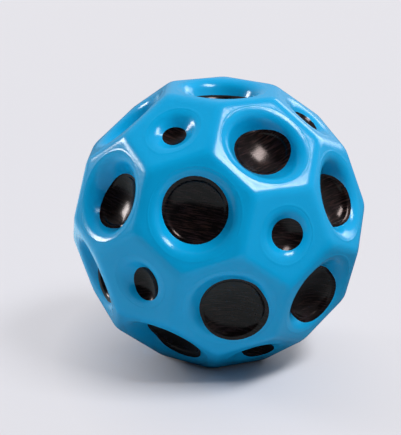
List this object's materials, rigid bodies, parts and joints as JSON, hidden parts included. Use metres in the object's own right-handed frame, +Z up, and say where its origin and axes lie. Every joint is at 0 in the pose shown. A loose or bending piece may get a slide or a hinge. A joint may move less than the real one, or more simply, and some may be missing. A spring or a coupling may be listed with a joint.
{
  "type": "foam bounce ball",
  "caption": "Cratered foam bounce ball: a blue cover of hexagons and pentagons, each with a round crater, moulded around a black foam core that shows as the crater floors.",
  "frame": {"origin": "centre of the ball", "axes": "+Z up through the middles of the top and bottom hexagons, with the ball standing on the bottom one; YZ is a mirror plane"},
  "size_m": [0.0662, 0.0666, 0.0622],
  "materials": {
    "cover_blue": "smooth glossy skin of a dense moulded polyurethane foam, bright blue",
    "core_black": "glossy black moulded foam with fine tool marks in the crater floors"
  },
  "bodies": {
    "root": {"foam_core": "core_black", "foam_cover": "cover_blue"}
  },
  "joints": []
}
